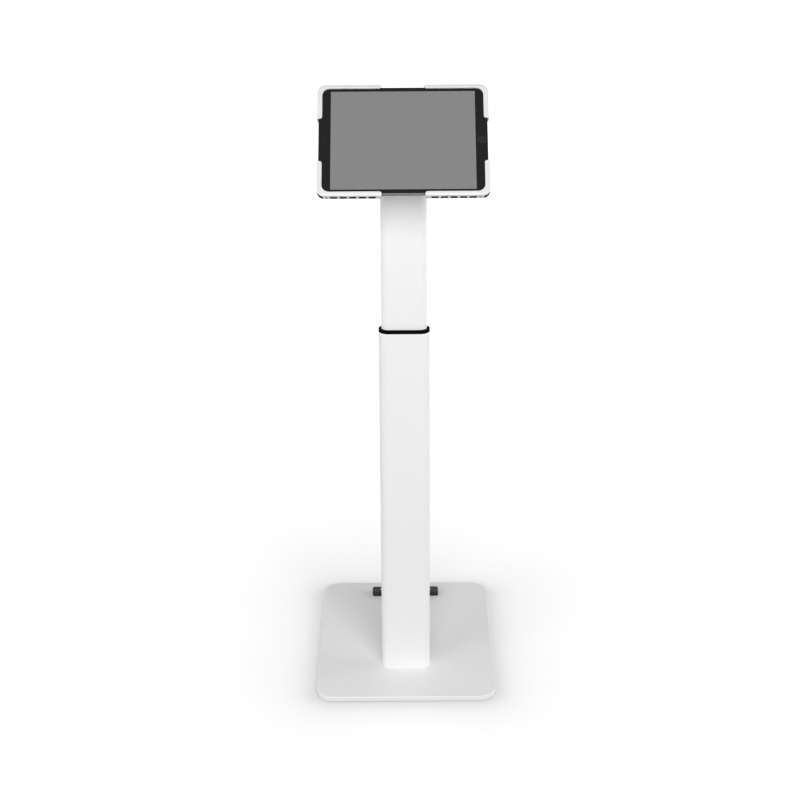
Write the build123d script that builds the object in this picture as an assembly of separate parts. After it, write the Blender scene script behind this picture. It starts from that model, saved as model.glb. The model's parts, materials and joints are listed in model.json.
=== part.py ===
from build123d import *
import math
import os

# Tablet floor stand. Millimetres, +Z up, front towards -Y.
# The origin is the centre of the rubber mat's underside, on the floor.

# Base plate and the mat under it
base_width = 296.0
base_depth = 394.0
base_corner = 30.0
plate_thickness = 8.0
plate_edge_round = 1.6
mat_thickness = 2.0
mat_margin = 3.0

# Column: the outer tube, its foot and the black collar with its sleeve
column_setback = 106.0
tube_width = 80.0
tube_depth = 32.0
tube_wall = 2.5
tube_length = 596.0
foot_height = 18.0
foot_bolt_pitch = 22.0
foot_bolt_radius = 4.0
foot_bolt_head_radius = 7.5
foot_bolt_head_height = 4.4
foot_bolt_below_top = 3.0
foot_hole_below_top = 2.0
set_screw_radius = 2.5
set_screw_pitch = 30.0
set_screw_depth = 6.0
set_screw_socket_radius = 1.4
set_screw_socket_depth = 1.6
collar_height = 5.4
collar_round = 0.8
sleeve_length = 60.0
sleeve_room = 2.0

# Cable outlet low in the rear wall, and the cable bar near the rear edge
outlet_width = 22.0
outlet_height = 14.0
outlet_above_plate = 33.0
grommet_wall = 2.0
grommet_lip = 2.5
grommet_lip_thickness = 1.6
grommet_lip_round = 0.9
bar_width = 119.0
bar_depth = 21.6
bar_height = 8.0
bar_corner = 4.0
bar_to_rear_edge = 30.6
bar_edge_round = 0.8
channel_width = 10.0
channel_height = 5.0
bar_screw_pitch = 84.0
bar_screw_radius = 2.0
bar_screw_head_radius = 3.8
bar_screw_head_height = 2.2
bar_screw_floor = 2.0

# Height lock at the back of the column
lock_below_tube_top = 26.0
boss_width = 46.0
boss_height = 38.0
boss_corner = 8.0
boss_edge_round = 1.5
boss_screw_pitch = 34.0
boss_screw_radius = 2.5
boss_screw_head_radius = 4.5
boss_screw_head_height = 3.0
boss_screw_socket_radius = 2.2
boss_screw_socket_depth = 2.0
boss_counterbore_radius = 4.75
boss_counterbore_depth = 4.0
shoe_side = 14.0
shoe_clearance = 0.3
shoe_length = 11.5
shoe_travel = 1.25
pad_side = 12.0
pad_thickness = 2.5
pad_gap = 0.2
bush_length = 9.0
bush_radius = 6.0
clamp_screw_radius = 4.0
clamp_tip_radius = 2.5
clamp_tip_length = 6.0
clamp_tip_end_gap = 0.2
knob_radius = 20.0
knob_length = 20.0
knob_lobes = 5
knob_notch_radius = 8.0
knob_notch_depth = 4.4
knob_back_round = 1.5
knob_front_round = 0.75
knob_boss_gap = 1.6
knob_grip_depth = 14.0

# Mast: the inner tube, its lower glide and the yoke on top
mast_wall = 1.8
rise = 200.0
glide_height = 30.0
plug_length = 40.0
cable_way_width = 20.0
cable_way_depth = 8.0
plug_screw_radius = 2.0
plug_screw_head_radius = 3.4
plug_screw_head_height = 1.5
plug_screw_length = 8.0
plug_screw_hole_length = 10.0
plug_screw_inset = 2.0
plug_screw_from_end = 18.0
yoke_lip = 2.0
yoke_cap_height = 12.0
yoke_cap_round = 1.5
yoke_drop = 28.0

# Tilt joint
pivot_height = 890.5
rest_tilt = 40.5
axle_radius = 4.0
axle_head_radius = 7.0
axle_head_height = 4.5
axle_head_round = 1.2
axle_socket_radius = 3.2
axle_socket_depth = 2.6
axle_end_proud = 1.0
nut_height = 6.0
nut_flats_radius = 6.5
ear_thickness = 7.0
ear_radius = 12.0
ear_root = 2.0
barrel_radius = 12.0
barrel_length = 34.0
washer_thickness = 0.9
washer_radius = 11.0
fork_play = 0.1

# Neck and quarter-turn joint
neck_web_width = 26.0
neck_flange_radius = 35.0
neck_flange_thickness = 4.0
spindle_radius = 10.0
spindle_nut_radius = 14.0
spindle_nut_height = 2.0
spindle_nut_notches = 4
spindle_nut_notch_radius = 1.6
spindle_end = 0.2
turn_washer_thickness = 0.4
turn_washer_inset = 2.0
turn_play = 0.1
stop_pin_radius = 2.0
stop_pin_orbit = 26.0
stop_pin_angle = 225.0
stop_pin_end_gap = 0.5
stop_slot_clearance = 0.2
quarter_turn = 90.0
plate_screw_pitch = 75.0
plate_screw_inset = 7.5
plate_corner = 12.0
turn_plate_thickness = 4.0
turn_plate_round = 0.8
plate_screw_radius = 2.0
plate_screw_head_radius = 3.8
plate_screw_head_height = 1.6

# Tablet, a 10.5 inch class one with a home button
tablet_width = 250.6
tablet_height = 174.1
tablet_thickness = 6.1
tablet_corner = 10.0
tablet_wall = 1.5
tablet_floor = 1.0
tablet_back_round = 1.6
glass_thickness = 0.8
glass_margin = 0.5
glass_gap = 0.1
glass_edge_round = 0.3
home_radius = 6.2
home_from_edge = 9.0
home_thickness = 1.4
home_set_back = 0.1
home_dish_radius = 60.0
home_dish_depth = 0.25
button_gap = 0.2
home_to_display = 0.915
display_long_bezel = 6.8
display_border = 2.0
display_corner = 1.5
display_thickness = 1.7
board_from_edge = 22.3
board_width = 30.0
board_end_margin = 17.05
board_thickness = 1.4
cell_gap = 10.0
cell_from_edge = 54.3
cell_end_margin = 22.05
cell_under_display = 0.5
camera_radius = 1.8
camera_set_back = 0.1
camera_behind_glass = 1.2
side_button_length = 11.0
side_button_width = 2.0
side_button_root = 0.6
side_button_travel = 0.4
side_button_left_proud = 0.1
side_button_round = 0.3
power_from_corner = 22.0
volume_from_corner = 30.0
volume_pitch = 13.0
socket_width = 10.0
socket_height = 3.4
socket_depth = 6.0
socket_wall = 0.4
socket_set_back = 0.2
socket_towards_back = 0.4

# Holder: rear shell and the bevelled ring that the corner brackets are parts of
reach = 26.0
holder_corner = 12.0
holder_depth = 13.5
shell_back_thickness = 1.5
shell_side_wall = 1.2
shell_long_wall = 1.2
shell_back_round = 2.0
shell_nut_gap = 2.0
tablet_side_gap = 0.75
tablet_long_gap = 2.75
ring_depth = 4.0
lip_thickness = 2.3
lip_on_side = 5.5
lip_on_long = 2.45
bevel_run = 3.6
bevel_drop = 1.3
window_corner = 11.0
notch_long = 64.0
notch_short = 70.0
notch_round = 3.5
notch_overlap = 1.2
vent_pitch = 14.0
vent_length = 10.5
vent_height = 7.2
vent_corner = 1.5
vent_margin = 0.75
vent_from_screw = 10.5
vent_behind_front = 8.3
corner_opening = 9.4
outer_tongue_width = 9.0
outer_tongue_from_side = 14.75
inner_tongue_width = 7.0
inner_tongue_from_notch = 1.0
tongue_end_gap = 0.5
tongue_gap = 0.1
bracket_screw_radius = 1.25
bracket_screw_head_radius = 2.3
bracket_screw_head_height = 1.0
bracket_screw_behind_front = 7.0
foam_width = 46.0
foam_height = 30.0
foam_inset = 16.0
foam_corner = 3.0

# Clearances, the hex sockets of countersunk screws, and how far a cut runs past a face
seat_gap = 0.05
slide_gap = 0.3
running_gap = 0.05
stop_gap = 1.0
socket_radius_share = 0.45
socket_depth_share = 0.7
overcut = 1.0

# Heights and depths of the column and the mast
plate_top = mat_thickness + plate_thickness
foot_top = plate_top + foot_height
column_y = -base_depth / 2 + column_setback
tube_top = plate_top + tube_length
collar_top = tube_top + collar_height
bore_width = tube_width - 2 * tube_wall
bore_depth = tube_depth - 2 * tube_wall
sleeve_bottom = tube_top - sleeve_length
lock_z = tube_top - lock_below_tube_top
mast_width = bore_width - 2 * sleeve_room
mast_depth = bore_depth - 2 * sleeve_room
mast_bore_width = mast_width - 2 * mast_wall
mast_bore_depth = mast_depth - 2 * mast_wall
plug_screw_pitch = mast_width - mast_depth - 2 * plug_screw_inset
mast_top = pivot_height - yoke_drop
mast_bottom = sleeve_bottom - rise - stop_gap
glide_bottom = mast_bottom - glide_height
cap_top = mast_top + yoke_cap_height

# The mast goes down until the yoke is at the collar or the glide is at the foot
fall = min(mast_top - collar_top, glide_bottom - foot_top) - stop_gap

# Outlines of the rotation plate, the tablet's screen and the holder
plate_side = plate_screw_pitch + 2 * plate_screw_inset
side_bezel = home_from_edge + home_radius + button_gap + home_to_display + display_border
display_width = tablet_width - 2 * side_bezel
display_height = tablet_height - 2 * display_long_bezel
cell_room = tablet_width - board_from_edge - board_width - 2 * cell_gap - cell_from_edge
battery_width = cell_room / 2
holder_width = tablet_width + 2 * tablet_side_gap + 2 * shell_side_wall
holder_height = tablet_height + 2 * tablet_long_gap + 2 * shell_long_wall
window_width = tablet_width - 2 * lip_on_side
window_height = tablet_height - 2 * lip_on_long
outer_tongue_x = holder_width / 2 - outer_tongue_from_side
inner_tongue_x = notch_long / 2 + inner_tongue_from_notch + inner_tongue_width / 2

# Depths of the holder's layers from the tilt axis, towards -Y with the holder upright
shell_back = -reach
shell_inside = shell_back - shell_back_thickness
holder_front = shell_back - holder_depth
split = holder_front + ring_depth
lip_back = holder_front + lip_thickness
glass_front = lip_back + glass_gap
glass_back = glass_front + glass_thickness
display_back = glass_back + display_thickness
tablet_back = glass_front + tablet_thickness
floor_inside = tablet_back - tablet_floor
turn_plate_front = shell_back
turn_plate_back = turn_plate_front + turn_plate_thickness
flange_front = turn_plate_back + turn_play + turn_washer_thickness
flange_back = flange_front + neck_flange_thickness
side_button_proud = side_button_travel + side_button_left_proud


def flat_oval(width, depth, low, high):
    """Upright bar whose section has two flat sides and half-round ends."""
    return Pos(0, 0, low) * extrude(SlotOverall(width, depth), high - low)


def rod_x(radius, y, z, start, end):
    """Cylinder along X."""
    bar = Cylinder(radius, end - start, align=(Align.CENTER, Align.CENTER, Align.MIN))
    return Pos(start, y, z) * Rot(0, 90, 0) * bar


def rod_y(radius, x, z, start, end):
    """Cylinder along Y."""
    bar = Cylinder(radius, end - start, align=(Align.CENTER, Align.CENTER, Align.MIN))
    return Pos(x, start, z) * Rot(-90, 0, 0) * bar


def rod_z(radius, x, y, start, end):
    """Cylinder along Z."""
    bar = Cylinder(radius, end - start, align=(Align.CENTER, Align.CENTER, Align.MIN))
    return Pos(x, y, start) * bar


def block(x_span, y_span, z_span):
    """Box between three pairs of coordinates."""
    size = [high - low for low, high in (x_span, y_span, z_span)]
    middle = [(low + high) / 2 for low, high in (x_span, y_span, z_span)]
    return Pos(*middle) * Box(*size)


def around(centre, size):
    """Pair of coordinates, centre plus and minus half the size."""
    return (centre - size / 2, centre + size / 2)


def hex_y(radius, x, z, back, depth):
    """Hexagon socket cut forwards from a face that looks backwards."""
    return standing(Pos(x, z) * RegularPolygon(radius, 6), back - depth, back)


def standing(sketch, front, back):
    """Sketch of X and Z given its depth along Y, from front to back."""
    return extrude(Plane.XZ.offset(-back) * sketch, back - front)


def on_column(shape):
    """Moves what is built about the tube's axis to the column's place."""
    return Pos(0, column_y, 0) * shape


def on_pivot(shape):
    """Moves what is built upright about the tilt axis to its place at rest."""
    return Pos(0, column_y, pivot_height) * Rot(-rest_tilt, 0, 0) * shape


def countersunk(radius, head_radius, head_height, length):
    """Screw along +Z from its flat head at zero up to its length, head first."""
    head = Cone(head_radius, radius, head_height, align=(Align.CENTER, Align.CENTER, Align.MIN))
    shank = rod_z(radius, 0, 0, head_height, length)
    socket = RegularPolygon(head_radius * socket_radius_share, 6)
    return head + shank - extrude(socket, head_height * socket_depth_share)


def countersink(radius, head_radius, head_height, length, gap=seat_gap):
    """The hole that takes a countersunk screw, a little wider than the screw."""
    head = Cone(
        head_radius + gap, radius + gap, head_height, align=(Align.CENTER, Align.CENTER, Align.MIN)
    )
    return head + rod_z(radius + gap, 0, 0, 0, length)


def round_back(shape, radius, y):
    """Rounds the edges of the face that looks along Y and lies at this depth."""
    face = shape.faces().filter_by(Axis.Y).sort_by(lambda f: abs(f.center().Y - y))[0]
    return fillet(face.outer_wire().edges(), radius)


# Base

def foot_bolt_places():
    return [(step * foot_bolt_pitch, 0) for step in (-1, 0, 1)]


def make_base_mat():
    outline = RectangleRounded(
        base_width - 2 * mat_margin, base_depth - 2 * mat_margin, base_corner - mat_margin
    )
    return extrude(outline, mat_thickness)


def make_base_plate():
    outline = RectangleRounded(base_width, base_depth, base_corner)
    plate = Pos(0, 0, mat_thickness) * extrude(outline, plate_thickness)
    plate = fillet(plate.edges().group_by(Axis.Z)[-1], plate_edge_round)
    for x, y in foot_bolt_places():
        hole = countersink(
            foot_bolt_radius, foot_bolt_head_radius, foot_bolt_head_height, plate_thickness + overcut
        )
        plate -= Pos(x, y + column_y, mat_thickness) * hole
    for side in (-1, 1):
        x = side * bar_screw_pitch / 2
        low = mat_thickness + bar_screw_floor
        plate -= rod_z(bar_screw_radius, x, bar_y(), low, plate_top + overcut)
    return plate


def make_foot_bolts():
    bolts = []
    for x, y in foot_bolt_places():
        bolt = countersunk(
            foot_bolt_radius,
            foot_bolt_head_radius,
            foot_bolt_head_height,
            plate_thickness + foot_height - foot_bolt_below_top,
        )
        bolts.append(Pos(x, y + column_y, mat_thickness) * bolt)
    return Compound(bolts)


def set_screw_z():
    return (plate_top + foot_top) / 2


def make_column_foot():
    foot = flat_oval(
        bore_width - 2 * seat_gap, bore_depth - 2 * seat_gap, plate_top, foot_top
    )
    for x, y in foot_bolt_places():
        foot -= rod_z(foot_bolt_radius, x, y, plate_top - overcut, foot_top - foot_hole_below_top)
    for side in (-1, 1):
        x = side * set_screw_pitch / 2
        front = bore_depth / 2 - set_screw_depth
        foot -= rod_y(set_screw_radius, x, set_screw_z(), front, bore_depth / 2 + overcut)
    return on_column(foot)


def make_foot_set_screws():
    screws = []
    for side in (-1, 1):
        x = side * set_screw_pitch / 2
        z = set_screw_z()
        back = tube_depth / 2
        screw = rod_y(set_screw_radius, x, z, bore_depth / 2 - set_screw_depth, back)
        screws.append(on_column(screw - hex_y(set_screw_socket_radius, x, z, back, set_screw_socket_depth)))
    return Compound(screws)


def outlet_hole(width, height, front, back):
    """Flat oval passage through the tube's rear wall."""
    z = plate_top + outlet_above_plate
    return Pos(0, 0, z) * standing(SlotOverall(width, height), front, back)


def make_outer_tube():
    tube = flat_oval(tube_width, tube_depth, plate_top, tube_top)
    tube -= flat_oval(bore_width, bore_depth, plate_top - overcut, tube_top + overcut)
    tube -= outlet_hole(outlet_width, outlet_height, 0, tube_depth)
    for side in (-1, 1):
        tube -= rod_y(set_screw_radius, side * set_screw_pitch / 2, set_screw_z(), 0, tube_depth)
        tube -= rod_y(boss_screw_radius, side * boss_screw_pitch / 2, lock_z, 0, tube_depth)
    tube -= shoe_window(0, tube_depth)
    return on_column(tube)


def make_collar():
    """Black ring on the tube's mouth, in one piece with the sleeve that guides the mast."""
    flange = flat_oval(tube_width, tube_depth, tube_top, collar_top)
    flange = fillet(flange.edges().group_by(Axis.Z)[-1], collar_round)
    sleeve = flat_oval(
        bore_width - 2 * seat_gap, bore_depth - 2 * seat_gap, sleeve_bottom, tube_top
    )
    ring = flange + sleeve
    ring -= flat_oval(
        mast_width + 2 * slide_gap,
        mast_depth + 2 * slide_gap,
        sleeve_bottom - overcut,
        collar_top + overcut,
    )
    return on_column(ring - shoe_window(0, tube_depth))


# Cable outlet and cable bar

def make_cable_grommet():
    """Rubber ring that lines the outlet, with a lip on each face of the tube's wall."""
    inside = tube_depth / 2 - tube_wall
    outside = tube_depth / 2
    lip_width = outlet_width + 2 * grommet_lip
    lip_height = outlet_height + 2 * grommet_lip
    ring = outlet_hole(outlet_width, outlet_height, inside, outside)
    ring += outlet_hole(lip_width, lip_height, outside, outside + grommet_lip_thickness)
    ring = round_back(ring, grommet_lip_round, outside + grommet_lip_thickness)
    ring += outlet_hole(lip_width, lip_height, inside - grommet_lip_thickness, inside)
    bore = outlet_hole(
        outlet_width - 2 * grommet_wall, outlet_height - 2 * grommet_wall, 0, tube_depth
    )
    return on_column(ring - bore)


def bar_y():
    return base_depth / 2 - bar_to_rear_edge - bar_depth / 2


def make_cable_bar():
    """Low black bar with a channel under it, which clamps the lead to the plate."""
    outline = RectangleRounded(bar_width, bar_depth, bar_corner)
    bar = Pos(0, bar_y(), plate_top) * extrude(outline, bar_height)
    bar = fillet(bar.edges().group_by(Axis.Z)[-1], bar_edge_round)
    bar -= block(
        around(0, channel_width),
        around(bar_y(), bar_depth + 2 * overcut),
        (plate_top, plate_top + channel_height),
    )
    for side in (-1, 1):
        hole = countersink(
            bar_screw_radius, bar_screw_head_radius, bar_screw_head_height, bar_height + overcut
        )
        bar -= Pos(side * bar_screw_pitch / 2, bar_y(), plate_top + bar_height) * Rot(180, 0, 0) * hole
    return bar


def make_bar_screws():
    screws = []
    for side in (-1, 1):
        length = bar_height + plate_thickness - bar_screw_floor
        screw = countersunk(bar_screw_radius, bar_screw_head_radius, bar_screw_head_height, length)
        place = Pos(side * bar_screw_pitch / 2, bar_y(), plate_top + bar_height)
        screws.append(place * Rot(180, 0, 0) * screw)
    return Compound(screws)


# Height lock, built about the tube's axis

pad_front = mast_depth / 2 + pad_gap
shoe_front = pad_front + pad_thickness
shoe_back = shoe_front + shoe_length
shoulder = shoe_back + pad_gap
boss_front = tube_depth / 2
bush_front = shoe_back + shoe_travel + running_gap
boss_back = bush_front + bush_length
boss_seat = boss_back - boss_counterbore_depth
knob_front = boss_back + knob_boss_gap
knob_back = knob_front + knob_length


def shoe_window(front, back):
    """Square way for the brake shoe through the walls in front of it."""
    side = shoe_side + 2 * shoe_clearance
    return block(around(0, side), (front, back), around(lock_z, side))


def make_lock_boss():
    outline = RectangleRounded(boss_width, boss_height, boss_corner)
    boss = Pos(0, 0, lock_z) * standing(outline, boss_front, boss_back)
    boss = round_back(boss, boss_edge_round, boss_back)
    boss -= shoe_window(boss_front - overcut, bush_front)
    boss -= rod_y(bush_radius, 0, lock_z, boss_front, boss_back + overcut)
    for side in (-1, 1):
        x = side * boss_screw_pitch / 2
        boss -= rod_y(boss_screw_radius, x, lock_z, boss_front - overcut, boss_back)
        boss -= rod_y(boss_counterbore_radius, x, lock_z, boss_seat, boss_back + overcut)
    return on_column(boss)


def make_lock_bush():
    bush = rod_y(bush_radius, 0, lock_z, bush_front, boss_back)
    bush -= rod_y(clamp_screw_radius + running_gap, 0, lock_z, boss_front, boss_back + overcut)
    return on_column(bush)


def make_boss_screws():
    screws = []
    for side in (-1, 1):
        x = side * boss_screw_pitch / 2
        top = boss_seat + boss_screw_head_height
        screw = rod_y(boss_screw_radius, x, lock_z, tube_depth / 2 - tube_wall, boss_seat)
        screw += rod_y(boss_screw_head_radius, x, lock_z, boss_seat, top)
        screw -= hex_y(boss_screw_socket_radius, x, lock_z, top, boss_screw_socket_depth)
        screws.append(on_column(screw))
    return Compound(screws)


def make_brake_pad():
    pad = block(around(0, pad_side), (pad_front, shoe_front), around(lock_z, pad_side))
    return on_column(pad)


def make_brake_shoe():
    shoe = block(around(0, shoe_side), (shoe_front, shoe_back), around(lock_z, shoe_side))
    hole_front = shoe_back - clamp_tip_length - clamp_tip_end_gap
    tip_hole = rod_y(clamp_tip_radius + running_gap, 0, lock_z, hole_front, shoe_back + overcut)
    return on_column(shoe - tip_hole)


def make_clamp_screw():
    tip = rod_y(clamp_tip_radius, 0, lock_z, shoe_back - clamp_tip_length, shoulder)
    shaft = rod_y(clamp_screw_radius, 0, lock_z, shoulder, knob_front + knob_grip_depth)
    return on_column(tip + shaft)


def make_lock_knob():
    """Lobed grip: a round body with a scallop cut between each two lobes."""
    knob = rod_y(knob_radius, 0, lock_z, knob_front, knob_back)
    for step in range(knob_lobes):
        angle = 2 * math.pi * (step + 0.5) / knob_lobes
        orbit = knob_radius + knob_notch_radius - knob_notch_depth
        x = orbit * math.sin(angle)
        z = lock_z + orbit * math.cos(angle)
        knob -= rod_y(knob_notch_radius, x, z, knob_front - overcut, knob_back + overcut)
    knob = round_back(knob, knob_back_round, knob_back)
    knob = round_back(knob, knob_front_round, knob_front)
    knob -= rod_y(clamp_screw_radius, 0, lock_z, knob_front - overcut, knob_front + knob_grip_depth)
    return on_column(knob)


# Mast

fork_inside = barrel_length / 2 + washer_thickness + fork_play
fork_outside = fork_inside + ear_thickness


def make_inner_tube():
    tube = flat_oval(mast_width, mast_depth, mast_bottom, mast_top)
    tube -= flat_oval(mast_bore_width, mast_bore_depth, mast_bottom - overcut, mast_top + overcut)
    for z in (mast_bottom + plug_screw_from_end, mast_top - plug_screw_from_end):
        for hole in plug_screw_holes(z):
            tube -= hole
    return on_column(tube)


def plug_screw_holes(z):
    """Countersunk holes in the mast's rear face, with their heads flush."""
    holes = []
    for side in (-1, 1):
        hole = countersink(
            plug_screw_radius, plug_screw_head_radius, plug_screw_head_height, plug_screw_hole_length
        )
        holes.append(Pos(side * plug_screw_pitch / 2, mast_depth / 2, z) * Rot(90, 0, 0) * hole)
    return holes


def make_plug_screws(z):
    screws = []
    for side in (-1, 1):
        screw = countersunk(
            plug_screw_radius, plug_screw_head_radius, plug_screw_head_height, plug_screw_length
        )
        place = Pos(side * plug_screw_pitch / 2, mast_depth / 2, z)
        screws.append(on_column(place * Rot(90, 0, 0) * screw))
    return Compound(screws)


def mast_plug(low, high):
    """The part of a fitting that goes into the mast."""
    return flat_oval(mast_bore_width - 2 * seat_gap, mast_bore_depth - 2 * seat_gap, low, high)


def cable_way(low, high):
    return flat_oval(cable_way_width, cable_way_depth, low, high)


def make_lower_glide():
    """Plastic guide on the mast's lower end, which runs in the outer tube."""
    glide = flat_oval(
        bore_width - 2 * slide_gap, bore_depth - 2 * slide_gap, glide_bottom, mast_bottom
    )
    glide += mast_plug(mast_bottom, mast_bottom + plug_length)
    glide -= cable_way(glide_bottom - overcut, mast_bottom + plug_length + overcut)
    for hole in plug_screw_holes(mast_bottom + plug_screw_from_end):
        glide -= hole
    return on_column(glide)


def make_yoke():
    """Cast fork on the mast's top: a plug, a cap with a lip, and two ears."""
    yoke = mast_plug(mast_top - plug_length, mast_top)
    cap = flat_oval(mast_width + 2 * yoke_lip, mast_depth + 2 * yoke_lip, mast_top, cap_top)
    yoke += fillet(cap.edges().group_by(Axis.Z)[-1], yoke_cap_round)
    for side in (-1, 1):
        span = sorted((side * fork_inside, side * fork_outside))
        ear = block(span, (-ear_radius, ear_radius), (cap_top - ear_root, pivot_height))
        ear += rod_x(ear_radius, 0, pivot_height, *span)
        yoke += ear
    yoke -= rod_x(axle_radius, 0, pivot_height, -tube_width, tube_width)
    yoke -= cable_way(mast_top - plug_length - overcut, cap_top + overcut)
    for hole in plug_screw_holes(mast_top - plug_screw_from_end):
        yoke -= hole
    return on_column(yoke)


# Tilt joint, built upright about the tilt axis

def make_tilt_axle():
    axle = rod_x(axle_radius, 0, 0, -fork_outside, fork_outside + nut_height + axle_end_proud)
    head_end = -fork_outside - axle_head_height
    head = rod_x(axle_head_radius, 0, 0, head_end, -fork_outside)
    head = fillet(head.edges().sort_by(Axis.X)[0], axle_head_round)
    socket = Plane.YZ.offset(head_end) * RegularPolygon(axle_socket_radius, 6)
    return Pos(0, column_y, pivot_height) * (axle + head - extrude(socket, axle_socket_depth))


def make_tilt_nut():
    outline = Plane.YZ.offset(fork_outside) * RegularPolygon(nut_flats_radius, 6, major_radius=False)
    nut = extrude(outline, nut_height)
    nut -= rod_x(axle_radius, 0, 0, fork_outside - overcut, fork_outside + nut_height + overcut)
    return Pos(0, column_y, pivot_height) * nut


def make_tilt_washers():
    washers = []
    for side in (-1, 1):
        near = barrel_length / 2 + fork_play
        span = sorted((side * near, side * (near + washer_thickness)))
        washer = rod_x(washer_radius, 0, 0, *span)
        washer -= rod_x(axle_radius, 0, 0, -tube_width, tube_width)
        washers.append(Pos(0, column_y, pivot_height) * washer)
    return Compound(washers)


def make_neck():
    """Barrel on the axle, web, round flange and the spindle that the holder turns on."""
    neck = rod_x(barrel_radius, 0, 0, -barrel_length / 2, barrel_length / 2)
    neck += block(around(0, neck_web_width), (flange_back, 0), around(0, 2 * barrel_radius))
    neck += rod_y(neck_flange_radius, 0, 0, flange_front, flange_back)
    spindle_front = turn_plate_front - spindle_end - spindle_nut_height
    neck += rod_y(spindle_radius, 0, 0, spindle_front, flange_front)
    neck -= rod_x(axle_radius + running_gap, 0, 0, -tube_width, tube_width)
    x, z = stop_pin_place(stop_pin_angle)
    neck -= rod_y(stop_pin_radius, x, z, flange_front - overcut, flange_back + overcut)
    return on_pivot(neck)


def stop_pin_place(angle):
    """X and Z of the stop pin's orbit at an angle seen from the front."""
    turn = math.radians(angle)
    return stop_pin_orbit * math.cos(turn), stop_pin_orbit * math.sin(turn)


def make_stop_pin():
    x, z = stop_pin_place(stop_pin_angle)
    return on_pivot(rod_y(stop_pin_radius, x, z, turn_plate_front + stop_pin_end_gap, flange_back))


def make_turn_washer():
    front = flange_front - turn_washer_thickness
    washer = rod_y(neck_flange_radius - turn_washer_inset, 0, 0, front, flange_front)
    washer -= rod_y(spindle_radius, 0, 0, front - overcut, flange_front + overcut)
    x, z = stop_pin_place(stop_pin_angle)
    washer -= rod_y(stop_pin_radius, x, z, front - overcut, flange_front + overcut)
    return on_pivot(washer)


def make_spindle_nut():
    nut_back = turn_plate_front - spindle_end
    nut_front = nut_back - spindle_nut_height
    nut = rod_y(spindle_nut_radius, 0, 0, nut_front, nut_back)
    nut -= rod_y(spindle_radius, 0, 0, nut_front - overcut, nut_back + overcut)
    for step in range(spindle_nut_notches):
        angle = 2 * math.pi * (step + 0.5) / spindle_nut_notches
        x = spindle_nut_radius * math.cos(angle)
        z = spindle_nut_radius * math.sin(angle)
        nut -= rod_y(spindle_nut_notch_radius, x, z, nut_front - overcut, nut_back + overcut)
    return on_pivot(nut)


def corner_places(pitch):
    return [(x * pitch / 2, z * pitch / 2) for x in (-1, 1) for z in (-1, 1)]


def stop_slot():
    """Curved slot for the stop pin, a quarter turn long, through the rotation plate."""
    half = stop_pin_radius + stop_slot_clearance
    front = turn_plate_front - overcut
    back = turn_plate_back + overcut
    ring = rod_y(stop_pin_orbit + half, 0, 0, front, back)
    ring -= rod_y(stop_pin_orbit - half, 0, 0, front, back)
    far = 2 * stop_pin_orbit
    points = [(0, 0)]
    for share in (0, 0.5, 1):
        angle = math.radians(stop_pin_angle + share * quarter_turn)
        points.append((far * math.cos(angle), far * math.sin(angle)))
    wedge = standing(Polygon(*points, align=None), front, back)
    slot = ring & wedge
    for angle in (stop_pin_angle, stop_pin_angle + quarter_turn):
        x, z = stop_pin_place(angle)
        slot += rod_y(half, x, z, front, back)
    return slot


def make_rotation_plate():
    outline = RectangleRounded(plate_side, plate_side, plate_corner)
    plate = standing(outline, turn_plate_front, turn_plate_back)
    plate = round_back(plate, turn_plate_round, turn_plate_back)
    front = turn_plate_front - overcut
    back = turn_plate_back + overcut
    plate -= rod_y(spindle_radius + running_gap, 0, 0, front, back)
    plate -= stop_slot()
    for x, z in corner_places(plate_screw_pitch):
        plate -= rod_y(plate_screw_radius, x, z, front, back)
    return on_pivot(plate)


def make_plate_screws():
    """Flat-headed screws, put in from inside the shell, that hold the rotation plate."""
    screws = []
    for x, z in corner_places(plate_screw_pitch):
        head = rod_y(
            plate_screw_head_radius, x, z, shell_inside - plate_screw_head_height, shell_inside
        )
        screws.append(on_pivot(head + rod_y(plate_screw_radius, x, z, shell_inside, turn_plate_back)))
    return Compound(screws)


# Holder

def notch_tools(front, back):
    """The open middle of each side, cut in as far as just inside the tablet's edge."""
    long_edge = tablet_height / 2 - notch_overlap
    short_edge = tablet_width / 2 - notch_overlap
    tools = []
    for side in (-1, 1):
        z_span = sorted((side * long_edge, side * holder_height))
        tools.append(block(around(0, notch_long), (front, back), z_span))
        x_span = sorted((side * short_edge, side * holder_width))
        tools.append(block(x_span, (front, back), around(0, notch_short)))
    return tools


def vent_places():
    """As many vents as fit between the bracket screw and the inner tongue, on both sides."""
    last = outer_tongue_x - vent_from_screw
    first = inner_tongue_x + inner_tongue_width / 2 + vent_margin + vent_length / 2
    count = int((last - first) / vent_pitch + seat_gap) + 1
    spots = [last - step * vent_pitch for step in range(count)]
    return [-x for x in spots] + spots


def make_rear_shell():
    outline = RectangleRounded(holder_width, holder_height, holder_corner)
    shell = standing(outline, split, shell_back)
    shell = round_back(shell, shell_back_round, shell_back)
    inside = RectangleRounded(
        holder_width - 2 * shell_side_wall,
        holder_height - 2 * shell_long_wall,
        holder_corner - shell_long_wall,
    )
    shell -= standing(inside, split - overcut, shell_inside)
    for tool in notch_tools(split - overcut, shell_back + overcut):
        shell -= tool
    front = shell_inside - overcut
    back = shell_back + overcut
    shell -= rod_y(spindle_nut_radius + shell_nut_gap, 0, 0, front, back)
    for x, z in corner_places(plate_screw_pitch):
        shell -= rod_y(plate_screw_radius, x, z, front, back)
    for x in vent_places():
        vent = Pos(x, holder_front + vent_behind_front) * RectangleRounded(
            vent_length, vent_height, vent_corner
        )
        low = Pos(0, 0, -holder_height / 2 - overcut)
        shell -= low * extrude(vent, shell_long_wall + 2 * overcut)
    for tool in corner_tools():
        shell -= tool
    for hole in bracket_screw_holes():
        shell -= hole
    return on_pivot(shell)


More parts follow.
